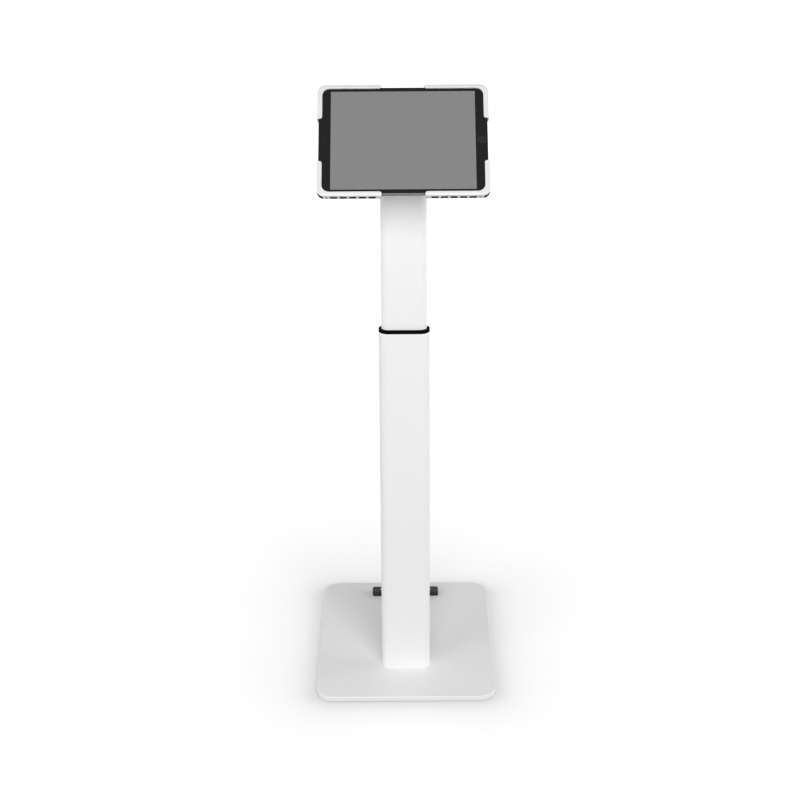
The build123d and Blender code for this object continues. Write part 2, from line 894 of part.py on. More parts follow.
def corner_tools():
    """The open corners of the shell, where its walls stop short of each other."""
    tools = []
    for x_side in (-1, 1):
        for z_side in (-1, 1):
            x_span = sorted((x_side * (holder_width / 2 - corner_opening), x_side * holder_width))
            z_span = sorted((z_side * (holder_height / 2 - corner_opening), z_side * holder_height))
            tools.append(block(x_span, (split - overcut, shell_inside), z_span))
    return tools


def bracket_screw_places():
    """Place and turn of each bracket screw, head outwards in the long walls."""
    y = holder_front + bracket_screw_behind_front
    places = []
    for x in (-outer_tongue_x, outer_tongue_x):
        places.append(Pos(x, y, holder_height / 2) * Rot(180, 0, 0))
        places.append(Pos(x, y, -holder_height / 2))
    return places


def bracket_screw_length():
    return holder_height / 2 - tablet_height / 2 - 3 * tongue_gap


def bracket_screw_holes():
    hole = countersink(
        bracket_screw_radius, bracket_screw_head_radius, bracket_screw_head_height, 2 * shell_long_wall
    )
    return [place * hole for place in bracket_screw_places()]


def make_bracket_screws():
    screw = countersunk(
        bracket_screw_radius, bracket_screw_head_radius, bracket_screw_head_height, bracket_screw_length()
    )
    return Compound([on_pivot(place * screw) for place in bracket_screw_places()])


def bracket_ring():
    """Whole bevelled ring that the four corner brackets are parts of."""
    outline = RectangleRounded(holder_width, holder_height, holder_corner)
    ring = standing(outline, holder_front, split)
    face = ring.faces().sort_by(Axis.Y)[0]
    ring = chamfer(face.outer_wire().edges(), bevel_drop, bevel_run)
    ring -= ring_inside()
    window = RectangleRounded(window_width, window_height, window_corner)
    return ring - standing(window, holder_front - overcut, split)


def make_corner_bracket(x_side, z_side):
    """One corner of the ring, with two legs down inside the shell and rounded lip ends."""
    x_span = sorted((x_side * notch_long / 2, x_side * holder_width))
    z_span = sorted((z_side * notch_short / 2, z_side * holder_height))
    bracket = bracket_ring() & block(x_span, (holder_front - overcut, split + overcut), z_span)
    bracket = fillet(lip_end_edges(bracket, x_side, z_side), notch_round)
    bracket += tongue(x_side * outer_tongue_x, outer_tongue_width, z_side)
    bracket += tongue(x_side * inner_tongue_x, inner_tongue_width, z_side)
    for place in bracket_screw_places():
        bracket -= place * rod_z(bracket_screw_radius, 0, 0, 0, bracket_screw_length())
    return on_pivot(bracket)


def lip_end_edges(bracket, x_side, z_side):
    """The two short edges where a lip's end meets the window."""
    corners = (
        (x_side * notch_long / 2, z_side * window_height / 2),
        (x_side * window_width / 2, z_side * notch_short / 2),
    )
    found = []
    for edge in bracket.edges().filter_by(Axis.Y):
        middle = edge.center()
        if any(math.hypot(middle.X - x, middle.Z - z) < 0.01 for x, z in corners):
            found.append(edge)
    return found


def ring_inside():
    """Room for the tablet behind the lips."""
    inside = RectangleRounded(
        holder_width - 2 * shell_side_wall,
        holder_height - 2 * shell_long_wall,
        holder_corner - shell_long_wall,
    )
    return standing(inside, lip_back, split + overcut)


def tongue(x, width, side):
    """Leg of a bracket that goes down inside the shell's long wall."""
    near = tablet_height / 2 + 2 * tongue_gap
    far = holder_height / 2 - shell_long_wall - tongue_gap
    z_span = sorted((side * near, side * far))
    return block(around(x, width), (lip_back, shell_inside - tongue_end_gap), z_span)


def make_foam_pads():
    pads = []
    for x_side in (-1, 1):
        for z_side in (-1, 1):
            x = x_side * (tablet_width / 2 - foam_inset - foam_width / 2)
            z = z_side * (tablet_height / 2 - foam_inset - foam_height / 2)
            outline = Pos(x, z) * RectangleRounded(foam_width, foam_height, foam_corner)
            pads.append(on_pivot(standing(outline, tablet_back, shell_inside)))
    return Compound(pads)


# Tablet

def inner_width():
    return tablet_width - 2 * tablet_wall


def inner_height():
    return tablet_height - 2 * tablet_wall


def make_tablet_body():
    outline = RectangleRounded(tablet_width, tablet_height, tablet_corner)
    body = standing(outline, glass_back, tablet_back)
    body = round_back(body, tablet_back_round, tablet_back)
    hollow = RectangleRounded(inner_width(), inner_height(), tablet_corner - tablet_wall)
    body -= standing(hollow, glass_back - overcut, floor_inside)
    body -= socket_block(0)
    for tool in side_button_shapes(button_gap):
        body -= tool
    return on_pivot(body)


def make_tablet_glass():
    outline = RectangleRounded(
        tablet_width - 2 * glass_margin, tablet_height - 2 * glass_margin, tablet_corner - glass_margin
    )
    glass = standing(outline, glass_front, glass_back)
    glass = round_back(glass, glass_edge_round, glass_front)
    front = glass_front - overcut
    back = glass_back + overcut
    glass -= rod_y(home_radius + button_gap, home_x(), 0, front, back)
    glass -= rod_y(camera_radius, -home_x(), 0, front, back)
    return on_pivot(glass)


def make_display():
    outline = RectangleRounded(
        display_width + 2 * display_border, display_height + 2 * display_border, display_corner
    )
    return on_pivot(standing(outline, glass_back, display_back))


def make_battery():
    """Two flat cells under the display, side by side, right of the board."""
    y_span = (display_back + cell_under_display, floor_inside)
    z_span = around(0, tablet_height - 2 * cell_end_margin)
    left = -tablet_width / 2 + board_from_edge + board_width + cell_gap
    cells = []
    for start in (left, left + battery_width + cell_gap):
        cells.append(on_pivot(block((start, start + battery_width), y_span, z_span)))
    return Compound(cells)


def make_board():
    left = -tablet_width / 2 + board_from_edge
    y_span = (floor_inside - board_thickness, floor_inside)
    z_span = around(0, tablet_height - 2 * board_end_margin)
    return on_pivot(block((left, left + board_width), y_span, z_span))


def home_x():
    return tablet_width / 2 - home_from_edge


def make_home_button():
    """Round button, a shallow dish, that stands level with the glass."""
    front = glass_front + home_set_back
    button = rod_y(home_radius, home_x(), 0, front, front + home_thickness)
    dish = Pos(home_x(), front - home_dish_radius + home_dish_depth, 0) * Sphere(home_dish_radius)
    return on_pivot(button - dish)


def make_front_camera():
    front = glass_front + camera_set_back
    return on_pivot(rod_y(camera_radius, -home_x(), 0, front, glass_back + camera_behind_glass))


def side_button_shapes(grow):
    """Power button in the left wall, then volume up and down in the top wall."""
    middle = (glass_back + tablet_back) / 2
    thick = side_button_width / 2 + grow
    half = side_button_length / 2 + grow
    root = tablet_wall + side_button_root
    edge_x = -tablet_width / 2
    edge_z = tablet_height / 2
    power_z = edge_z - power_from_corner
    shapes = [
        block(
            (edge_x - side_button_proud, edge_x + root),
            (middle - thick, middle + thick),
            (power_z - half, power_z + half),
        )
    ]
    for step in (0, 1):
        x = edge_x + volume_from_corner + step * volume_pitch
        shapes.append(
            block(
                (x - half, x + half),
                (middle - thick, middle + thick),
                (edge_z - root, edge_z + side_button_proud),
            )
        )
    return shapes


def make_side_button(index):
    shape = side_button_shapes(0)[index]
    along = Axis.Z if index == 0 else Axis.X
    return on_pivot(fillet(shape.edges().filter_by(along), side_button_round))


def socket_block(shrink):
    """Charge socket in the right wall, in the middle of the notch."""
    edge = tablet_width / 2
    middle = (glass_back + tablet_back) / 2 + socket_towards_back
    return block(
        (edge - socket_depth + shrink, edge + overcut),
        around(middle, socket_height - 2 * shrink),
        around(0, socket_width - 2 * shrink),
    )


def make_charge_socket():
    """Metal cup that lines the socket, set back a little from the tablet's edge."""
    inside_tablet = block(
        (0, tablet_width / 2 - socket_set_back), (glass_front, tablet_back), around(0, tablet_height)
    )
    return on_pivot(inside_tablet & socket_block(0) - socket_block(socket_wall))


PARTS = {
    "base_mat": make_base_mat,
    "base_plate": make_base_plate,
    "column_foot": make_column_foot,
    "foot_bolts": make_foot_bolts,
    "foot_set_screws": make_foot_set_screws,
    "outer_tube": make_outer_tube,
    "collar": make_collar,
    "cable_grommet": make_cable_grommet,
    "cable_bar": make_cable_bar,
    "cable_bar_screws": make_bar_screws,
    "lock_boss": make_lock_boss,
    "lock_bush": make_lock_bush,
    "lock_boss_screws": make_boss_screws,
    "brake_pad": make_brake_pad,
    "brake_shoe": make_brake_shoe,
    "clamp_screw": make_clamp_screw,
    "lock_knob": make_lock_knob,
    "inner_tube": make_inner_tube,
    "lower_glide": make_lower_glide,
    "glide_screws": lambda: make_plug_screws(mast_bottom + plug_screw_from_end),
    "yoke": make_yoke,
    "yoke_screws": lambda: make_plug_screws(mast_top - plug_screw_from_end),
    "tilt_axle": make_tilt_axle,
    "tilt_nut": make_tilt_nut,
    "tilt_washers": make_tilt_washers,
    "neck": make_neck,
    "turn_washer": make_turn_washer,
    "turn_stop_pin": make_stop_pin,
    "spindle_nut": make_spindle_nut,
    "rotation_plate": make_rotation_plate,
    "rotation_plate_screws": make_plate_screws,
    "rear_shell": make_rear_shell,
    "corner_bracket_top_left": lambda: make_corner_bracket(-1, 1),
    "corner_bracket_top_right": lambda: make_corner_bracket(1, 1),
    "corner_bracket_bottom_left": lambda: make_corner_bracket(-1, -1),
    "corner_bracket_bottom_right": lambda: make_corner_bracket(1, -1),
    "bracket_screws": make_bracket_screws,
    "foam_pads": make_foam_pads,
    "tablet_body": make_tablet_body,
    "tablet_glass": make_tablet_glass,
    "tablet_display": make_display,
    "tablet_battery": make_battery,
    "tablet_board": make_board,
    "front_camera": make_front_camera,
    "charge_socket": make_charge_socket,
    "home_button": make_home_button,
    "power_button": lambda: make_side_button(0),
    "volume_up_button": lambda: make_side_button(1),
    "volume_down_button": lambda: make_side_button(2),
}

os.makedirs("parts", exist_ok=True)
for node, make in PARTS.items():
    export_step(make(), f"parts/{node}.step")
print("height travel", -fall, "to", rise)
print("column axis y", column_y, "tilt axis z", pivot_height, "lock z", lock_z)
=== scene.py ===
# %% [markdown]
# # A floor stand for a tablet
#
# The stand has a flat base plate, a column of two flat oval tubes that slide in each other, and
# a tilting holder whose four corner brackets grip a tablet. The solids come in with their true
# sizes. This script gives every piece its finish, makes the knob, the grommet and the foam pads
# as new surfaces, and sets up the floor, the lamps and the camera. All lengths are in metres.

# %% Load the solids
import json
import math

import bmesh
import bpy
import numpy as np
from mathutils import Matrix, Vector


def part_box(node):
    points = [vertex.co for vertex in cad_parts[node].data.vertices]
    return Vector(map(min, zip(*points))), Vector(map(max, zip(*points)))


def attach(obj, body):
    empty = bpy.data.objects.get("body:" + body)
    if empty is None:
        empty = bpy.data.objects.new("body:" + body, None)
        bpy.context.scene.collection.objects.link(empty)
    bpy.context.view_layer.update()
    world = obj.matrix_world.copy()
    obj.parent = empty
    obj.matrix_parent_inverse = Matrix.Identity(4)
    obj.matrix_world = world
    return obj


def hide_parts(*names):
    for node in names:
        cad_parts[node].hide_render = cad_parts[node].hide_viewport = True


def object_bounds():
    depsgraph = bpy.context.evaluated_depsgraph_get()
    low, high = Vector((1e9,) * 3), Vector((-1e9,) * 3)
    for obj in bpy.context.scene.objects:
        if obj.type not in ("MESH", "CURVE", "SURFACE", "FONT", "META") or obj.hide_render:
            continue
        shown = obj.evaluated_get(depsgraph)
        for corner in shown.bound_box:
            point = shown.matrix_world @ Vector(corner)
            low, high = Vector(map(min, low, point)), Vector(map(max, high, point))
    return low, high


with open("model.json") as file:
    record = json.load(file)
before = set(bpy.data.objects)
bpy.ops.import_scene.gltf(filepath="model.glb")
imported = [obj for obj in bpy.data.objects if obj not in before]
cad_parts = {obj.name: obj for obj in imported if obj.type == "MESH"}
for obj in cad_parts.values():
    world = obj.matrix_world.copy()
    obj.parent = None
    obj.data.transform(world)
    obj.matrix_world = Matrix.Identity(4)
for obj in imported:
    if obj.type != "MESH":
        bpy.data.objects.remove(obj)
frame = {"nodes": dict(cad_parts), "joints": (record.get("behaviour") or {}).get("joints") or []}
cad_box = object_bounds()
nodes = frame["nodes"]

# %% [markdown]
# ## The two places that the rest is measured from
#
# The holder is tipped back about an axle on top of the column, so what belongs to it is easiest
# to describe upright and then lean back. The joints of the loaded model say where the axle is and
# which way the screen looks. One could type these numbers in again, but then they could disagree
# with the model, so they are read from it.

# %% Read the axle and the screen's direction
joints = {joint["name"]: joint for joint in frame["joints"]}
axle = np.array(joints["holder_tilt"]["pos_m"])
outwards = np.array(joints["holder_turn"]["axis"])
across = np.array([1.0, 0.0, 0.0])
upwards = np.cross(across, -outwards)
holder_axes = np.stack([across, -outwards, upwards])
print("axle", axle.round(4), "screen looks along", outwards.round(3))


def vertices(node):
    """All corners of a solid as rows of x, y, z."""
    mesh = nodes[node].data
    flat = np.empty(len(mesh.vertices) * 3)
    mesh.vertices.foreach_get("co", flat)
    return flat.reshape(-1, 3)


def span(points):
    """The middle and the half size of the box round some points."""
    low, high = points.min(0), points.max(0)
    return (low + high) / 2, (high - low) / 2


def to_holder(points):
    """Points of the stand as across, depth and height about the axle, with the holder upright."""
    return (points - axle) @ holder_axes.T


def from_holder(points):
    """The way back: the axle, plus across, depth and height times their own directions."""
    return axle + points @ holder_axes


# %% [markdown]
# ## Shader maths as plain Python
#
# A finish varies over its surface: a powder coat has pores, a moulding has grain. In the shader
# editor each plus and times is a node. Here a small class stands for one output socket, and
# Python's own operators add the Math nodes, so a formula can be read as a formula. Everything
# else, such as a noise or a colour mix, is added by one method that takes the node's type, its
# settings and its inputs.

# %% The socket class
class Value:
    """A number that changes over a surface: one output socket of a shader node."""

    def __init__(self, graph, socket):
        self.graph = graph
        self.socket = socket

    def math(self, operation, *others):
        """Adds a Math node, with this value and the others as its inputs."""
        inputs = dict(enumerate((self, *others)))
        return self.graph.add("ShaderNodeMath", {"operation": operation}, inputs)

    def __add__(self, other):
        return self.math("ADD", other)

    def __radd__(self, other):
        return self + other

    def __sub__(self, other):
        return self.math("SUBTRACT", other)

    def __rsub__(self, other):
        return self.math("MULTIPLY_ADD", -1.0, other)

    def __mul__(self, other):
        return self.math("MULTIPLY", other)

    def __rmul__(self, other):
        return self * other

    def __truediv__(self, other):
        return self.math("DIVIDE", other)

    def __abs__(self):
        return self.math("ABSOLUTE")

    def clamped(self):
        """Cut off below 0 and above 1."""
        return self.math("MINIMUM", 1.0).math("MAXIMUM", 0.0)


print("socket class ready")


# %% The node graph class
def set_stops(ramp, stops):
    """Gives a colour ramp its stops, each a place and a grey level."""
    while len(ramp.elements) < len(stops):
        ramp.elements.new(0.5)
    for element, (place, level) in zip(ramp.elements, stops):
        element.position = place
        element.color = (level, level, level, 1.0)


class Graph:
    """The nodes of a material or of the world."""

    def __init__(self, owner):
        owner.use_nodes = True
        self.tree = owner.node_tree

    def put(self, socket, value):
        """Links a Value to a socket, or sets the socket to a number or a colour."""
        if isinstance(value, Value):
            self.tree.links.new(value.socket, socket)
        else:
            socket.default_value = value

    def add(self, kind, settings=None, inputs=None, output=0):
        """Adds a node of any type: its settings first, then its sockets' values or links."""
        node = self.tree.nodes.new(kind)
        for key, value in (settings or {}).items():
            if key == "stops":
                set_stops(node.color_ramp, value)
            else:
                setattr(node, key, value)
        for key, value in (inputs or {}).items():
            self.put(node.inputs[key], value)
        return Value(self, node.outputs[output])

    def seen(self):
        """1 for the camera and for reflections and glass, 0 for the light that lands on things."""
        kinds = ("Is Camera Ray", "Is Glossy Ray", "Is Transmission Ray")
        camera, glossy, through = (self.add("ShaderNodeLightPath", output=kind) for kind in kinds)
        return (camera + glossy + through).clamped()


print("graph class ready")


# %% The finish class
class Finish(Graph):
    """A material with one Principled BSDF, whose patterns read Object coordinates."""

    def __init__(self, name):
        self.material = bpy.data.materials.new(name)
        super().__init__(self.material)
        self.shader = self.tree.nodes["Principled BSDF"]
        self.place = self.add("ShaderNodeTexCoord", output="Object")

    def noise(self, per_metre, detail=2.0):
        """Soft random values about one half, with this many features in a metre."""
        inputs = {"Vector": self.place, "Scale": per_metre, "Detail": detail}
        return self.add("ShaderNodeTexNoise", inputs=inputs)

    def cells(self, per_metre):
        """Distance to the nearest of many random points: 0 at a point, larger between points."""
        inputs = {"Vector": self.place, "Scale": per_metre}
        return self.add("ShaderNodeTexVoronoi", inputs=inputs)

    def mixed(self, share, first, second):
        """Colour that goes from the first to the second as share goes from 0 to 1."""
        inputs = {"Factor": share, 6: first, 7: second}
        return self.add("ShaderNodeMix", {"data_type": "RGBA"}, inputs, output=2)

    def along(self, direction, origin):
        """How far each point lies from the origin along a direction: their dot product."""
        inputs = {0: self.place, 1: tuple(origin)}
        away = self.add("ShaderNodeVectorMath", {"operation": "SUBTRACT"}, inputs)
        inputs = {0: away, 1: tuple(direction)}
        settings = {"operation": "DOT_PRODUCT"}
        return self.add("ShaderNodeVectorMath", settings, inputs, output="Value")

    def relief(self, height, depth):
        """Normal of a surface that rises by this depth as height goes from 0 to 1."""
        return self.add("ShaderNodeBump", inputs={"Height": height, "Distance": depth})

    def surface(self, **sockets):
        """Sets or links the Principled BSDF's sockets, named as words joined by underscores."""
        for name, value in sockets.items():
            socket = name.replace("_", " ").title().replace("Ior", "IOR")
            self.put(self.shader.inputs[socket], value)
        return self.material


def grey(level, warmth=0.0):
    """A near-neutral colour: warmth lifts red and lowers blue by that share."""
    return (level * (1 + warmth), level, level * (1 - warmth), 1.0)


print("finish class ready, Blender", bpy.app.version_string)

# %% [markdown]
# ## White powder coat
#
# The plate, both tubes, the shell and the castings are steel and aluminium under a white powder
# coat. Powder melts into a skin that is smooth to the hand but has a fine orange peel, so that
# reflections look soft. A picture of the texture would need UV maps, so the peel is a noise in
# metres instead: bumps half a millimetre wide and a few hundredths deep, with a little variation
# in gloss, and a trace of colour drift over about ten centimetres. The shell's inside is painted
# matt black as painted shade, so that its vents and notches look dark as if in shadow. It is one
# surface with the outside, so the painted shade goes where a point lies deep enough inside the
# shell's box.

# %% Powder coat
def powder_coat(name, level, painted_shade_inside=None):
    """White coat, painted matt black as shade where painted_shade_inside, if given, gives 1."""
    coat = Finish(name)
    peel = coat.noise(1900.0, detail=1.0)
    drift = coat.noise(9.0)
    speck = coat.noise(5200.0, detail=0.0)
    white = coat.mixed(drift, grey(level * 0.985, 0.003), grey(level, 0.001))
    rough = 0.44 + 0.12 * peel
    # Painted shade: inside the shell the white is mixed to matt black, so that its vents and
    # notches look dark.
    if painted_shade_inside:
        inside = painted_shade_inside(coat)
        white = coat.mixed(inside, white, grey(0.012))
        rough = rough + 0.40 * inside
    return coat.surface(
        base_color=white,
        roughness=rough,
        specular_ior_level=0.35,
        normal=coat.relief(peel + 0.25 * speck, depth=0.00003),
    )


def shell_painted_shade_mask(coat, shade_reach=0.0008, back_wall=0.0015, softness=0.0001):
    """1 inside the holder's shell, 0 outside: the least of three ways in, over the softness.

    The ways are how deep a point lies under the side walls' outer faces and under the long walls'
    outer faces, less how far the painted shade reaches into an opening, and how far the point lies
    in front of the back wall. Where none of them is below 0, the coat is painted black as shade.
    """
    middle, half = span(to_holder(vertices("rear_shell")))
    origin = from_holder(middle)
    from_side = half[0] - shade_reach - abs(coat.along(across, origin))
    from_end = half[2] - shade_reach - abs(coat.along(upwards, origin))
    from_back = coat.along(outwards, origin) + (half[1] - back_wall)
    least = from_side.math("MINIMUM", from_end).math("MINIMUM", from_back)
    return (least / softness + 1.0).clamped()


white_coat = powder_coat("white_powder_coat", level=0.84)
# The shell's coat carries painted shade: matt black inside, standing in for the shadow in its
# vents and notches.
shell_coat_painted_shade = powder_coat("white_coat_black_inside", level=0.84, painted_shade_inside=shell_painted_shade_mask)
print(white_coat.name, shell_coat_painted_shade.name)

# %% [markdown]
# ## White moulding
#
# The corner brackets are moulded plastic. Their mould was spark-eroded, which leaves a grain
# finer than the powder coat's and a slightly softer gloss. The same kind of noise does it at a
# smaller scale. Light that scatters inside the plastic could be added, but doesn't show on a
# piece this thick.

# %% Moulded white
def moulded_white(name, level):
    """White plastic with a fine even grain."""
    plastic = Finish(name)
    grain = plastic.noise(3600.0)
    drift = plastic.noise(22.0)
    return plastic.surface(
        base_color=plastic.mixed(drift, grey(level * 0.985, 0.004), grey(level, 0.002)),
        roughness=0.40 + 0.10 * grain,
        normal=plastic.relief(grain, depth=0.000015),
    )


white_moulding = moulded_white("white_moulding", level=0.73)
print(white_moulding.name)

# %% [markdown]
# ## Black mouldings
#
# The collar, the cable bar, the lock's boss and knob, the glide and the friction washers are
# black plastic. The collar is matt and drinks up light, while the bar has a coarse leather-like
# grain, and the rest is satin. One function makes them all: cells give the grain's pebbles, and a
# finer noise breaks up their height and their gloss. The colour is painted lighter where the grain
# stands high and darker where it sinks in, a painted sheen on the ridges and painted shade in the
# hollows, which makes the bar's grain glint grey besides its real gloss.

# %% Moulded black
def moulded_black(name, level, pebbles, depth, gloss):
    """Black plastic of a grey level, with so many pebbles in a metre, this deep, and a gloss."""
    plastic = Finish(name)
    pebble = plastic.cells(pebbles)
    fine = plastic.noise(pebbles * 3.0)
    height = pebble + 0.35 * fine
    # Painted sheen and shade: the colour is lighter where the grain stands high and darker where
    # it sinks in.
    return plastic.surface(
        base_color=plastic.mixed(height, grey(level * 0.7), grey(level * 1.3)),
        roughness=0.70 - 0.25 * gloss + 0.15 * fine,
        specular_ior_level=gloss,
        normal=plastic.relief(height, depth),
    )


# Name, grey level, pebbles in a metre, their depth, gloss
collar_black = moulded_black("collar_black", 0.0015, 2600.0, 0.00001, 0.02)
grained_black = moulded_black("grained_black", 0.014, 700.0, 0.00012, 0.30)
satin_black = moulded_black("satin_black", 0.012, 2200.0, 0.00003, 0.40)
print(collar_black.name, grained_black.name, satin_black.name)

# %% [markdown]
# ## Rubber and foam
#
# The mat under the plate, the grommet and the brake pad are matt rubber with a dusty bloom: rough,
# almost no gloss, and slightly lighter where the dust lies. The four pads behind the tablet are
# open-cell foam, whose pores are the sunken middles of random cells, painted darker as shade.

# %% Rubber and foam
def rubber(name, level):
    """Matt black with a bloom in patches of a few millimetres."""
    matt = Finish(name)
    bloom = matt.noise(160.0, detail=4.0)
    texture = matt.noise(2400.0)
    return matt.surface(
        base_color=matt.mixed(bloom, grey(level * 0.75), grey(level * 1.35)),
        roughness=0.78 + 0.14 * texture,
        specular_ior_level=0.25,
        normal=matt.relief(texture, depth=0.00004),
    )


def foam(name, level):
    """Dark grey with pores about a millimetre wide, painted darker as shade where they sink in."""
    sponge = Finish(name)
    pores = sponge.cells(900.0)
    stops = [(0.15, 0.0), (0.6, 1.0)]
    height = sponge.add("ShaderNodeValToRGB", {"stops": stops}, {"Fac": pores})
    # Painted shade: the colour is darker in the pores' sunken middles.
    return sponge.surface(
        base_color=sponge.mixed(pores, grey(level * 0.4), grey(level * 1.4)),
        roughness=0.95,
        specular_ior_level=0.1,
        normal=sponge.relief(height, depth=0.0004),
    )


black_rubber = rubber("black_rubber", level=0.030)
grey_foam = foam("charcoal_foam", level=0.05)
print(black_rubber.name, grey_foam.name)

# %% [markdown]
# ## Bare metals
#
# Screws, nuts and the axle are zinc-plated steel, the bush is turned brass and the column's foot
# is blasted aluminium. The tablet's body is anodised grey, its keys a shade darker, and its socket
# is dark nickel. A metal has no colour of its own under its reflections, so what tells them apart
# is tint and roughness. Turning marks are a noise that is stretched from front to back, and
# blasting leaves a fine even one.

# %% Metals
def turned_metal(name, colour, rough, marks):
    """Metal with turning marks, so many in a metre, and with stains of about a centimetre."""
    metal = Finish(name)
    inputs = {"Vector": metal.place, "Scale": (1.0, 0.06, 1.0)}
    stretched = metal.add("ShaderNodeMapping", inputs=inputs)
    inputs = {"Vector": stretched, "Scale": marks, "Detail": 3.0}
    lines = metal.add("ShaderNodeTexNoise", inputs=inputs)
    stain = metal.noise(90.0, detail=3.0)
    dark = tuple(0.86 * part for part in colour)
    return metal.surface(
        base_color=metal.mixed(stain, (*dark, 1.0), (*colour, 1.0)),
        metallic=1.0,
        roughness=rough - 0.06 + 0.14 * lines,
        normal=metal.relief(lines, depth=0.000012),
    )


def blasted_metal(name, colour, rough):
    """Metal with a fine even grain."""
    metal = Finish(name)
    blast = metal.noise(4200.0)
    return metal.surface(
        base_color=(*colour, 1.0),
        metallic=1.0,
        roughness=rough + 0.12 * blast,
        normal=metal.relief(blast, depth=0.000012),
    )


zinc = turned_metal("zinc_plated_steel", (0.40, 0.405, 0.415), rough=0.36, marks=2200.0)
brass = turned_metal("turned_brass", (0.72, 0.55, 0.27), rough=0.26, marks=2600.0)
aluminium = blasted_metal("blasted_aluminium", (0.60, 0.61, 0.62), rough=0.38)
grey_anodised = blasted_metal("grey_anodised_aluminium", (0.27, 0.27, 0.277), rough=0.42)
side_key = blasted_metal("side_key", (0.21, 0.21, 0.216), rough=0.36)
dark_nickel = blasted_metal("dark_nickel", (0.06, 0.06, 0.062), rough=0.30)
print(zinc.name, brass.name, aluminium.name, grey_anodised.name, side_key.name, dark_nickel.name)

# %% [markdown]
# ## The cover glass and the resting screen
#
# One sheet of glass covers the whole front. Behind it the border is printed black and the screen
# rests as an even mid grey. The glass could be modelled as clear, with the display behind it, but
# a clear sheet right in front of a dark display mostly adds noise. So the print is painted on the
# glass itself: a point is on the screen where it lies within half the screen's width and half its
# height of the middle, measured in the leaning plane, and the edge is softened over a fifth of a
# millimetre. A thin rim just inside the screen is a shade lighter, as light leaks at its edge.

# %% Cover glass
display_border = 0.002
display_middle, half_display = span(to_holder(vertices("tablet_display")))
half_screen = half_display - display_border
print("screen", (2000 * half_screen[[0, 2]]).round(2), "mm")


def screen_mask(glass, inset, softness=0.0002):
    """1 on the screen less an inset, 0 outside: the nearer edge's distance over the softness."""
    middle = from_holder(display_middle)
    sideways = abs(glass.along(across, middle))
    lengthways = abs(glass.along(upwards, middle))
    near_side = (half_screen[0] - inset - sideways) / softness + 0.5
    near_end = (half_screen[2] - inset - lengthways) / softness + 0.5
    return near_side.math("MINIMUM", near_end).clamped()


def cover_glass(name, screen_level, border_level):
    """Glass with a grey screen in a black border, and with smears that soften its reflections."""
    glass = Finish(name)
    whole = screen_mask(glass, inset=0.0)
    inner = screen_mask(glass, inset=0.0007, softness=0.0006)
    haze = glass.noise(6.0, detail=3.0)
    screen = glass.mixed(haze, grey(screen_level * 0.985), grey(screen_level * 1.015))
    rimmed = glass.mixed(inner, grey(screen_level * 1.12), screen)
    smear = glass.noise(38.0, detail=4.0)
    return glass.surface(
        base_color=glass.mixed(whole, grey(border_level), rimmed),
        roughness=0.10 + 0.08 * smear,
        specular_ior_level=0.20,
    )


front_glass = cover_glass("printed_cover_glass", screen_level=0.215, border_level=0.003)
print(front_glass.name)

# %% [markdown]
# ## Small black glossy pieces, and the electronics behind the screen
#
# The home button is a dark dish with a fine metal-grey ring at its rim, and the camera is a dark
# bead with a paler iris. Both are circles about an axis square to the screen, so one mask serves:
# the distance from that axis. The board, the cells and the display's back are never seen in use,
# but they get the look of solder mask and of foil-wrapped cells all the same.

# %% Round marks and electronics
def round_mark(name, node, ring_start, ring_end, ground, mark, rough):
    """A disc of one grey level, with a ring of another between two radii from its axis."""
    disc = Finish(name)
    middle = from_holder(span(to_holder(vertices(node)))[0])
    sideways = disc.along(across, middle)
    lengthways = disc.along(upwards, middle)
    radius = (sideways * sideways + lengthways * lengthways).math("SQRT")
    softness = 0.00008
    outside_start = ((radius - ring_start) / softness).clamped()
    inside_end = ((ring_end - radius) / softness).clamped()
    return disc.surface(
        base_color=disc.mixed(outside_start * inside_end, grey(ground), grey(mark)),
        roughness=rough,
        specular_ior_level=0.3,
    )


def speckled(name, ground, mark, per_metre, metallic, rough):
    """A ground colour with marks of another colour, so many in a metre."""
    board = Finish(name)
    stops = [(0.40, 0.0), (0.52, 1.0)]
    inputs = {"Fac": board.noise(per_metre)}
    spot = board.add("ShaderNodeValToRGB", {"stops": stops}, inputs)
    return board.surface(
        base_color=board.mixed(spot, (*ground, 1.0), (*mark, 1.0)),
        metallic=metallic,
        roughness=rough,
    )


# Name, solid, the ring's two radii, the levels of the disc and of the ring, roughness
home_dish = round_mark("home_button_dish", "home_button", 0.0054, 0.0058, 0.006, 0.030, 0.16)
camera_bead = round_mark("camera_bead", "front_camera", 0.0007, 0.0011, 0.003, 0.018, 0.08)
# Name, the two colours, marks in a metre, metallic, roughness
solder_mask = speckled("board_mask", (0.008, 0.016, 0.02), (0.10, 0.10, 0.09), 420.0, 0.0, 0.5)
cell_foil = speckled("cell_foil", (0.35, 0.35, 0.36), (0.45, 0.45, 0.46), 60.0, 0.8, 0.45)
display_back = speckled("display_back", (0.20, 0.20, 0.21), (0.26, 0.26, 0.27), 25.0, 0.7, 0.5)
print(home_dish.name, camera_bead.name, solder_mask.name, cell_foil.name, display_back.name)

# %% [markdown]
# ## Dress every solid
#
# A solid keeps its shape and only changes its finish. One table lists which pieces share a finish,
# and a loop puts it into each piece's material slots. The table is the whole stand at a glance.

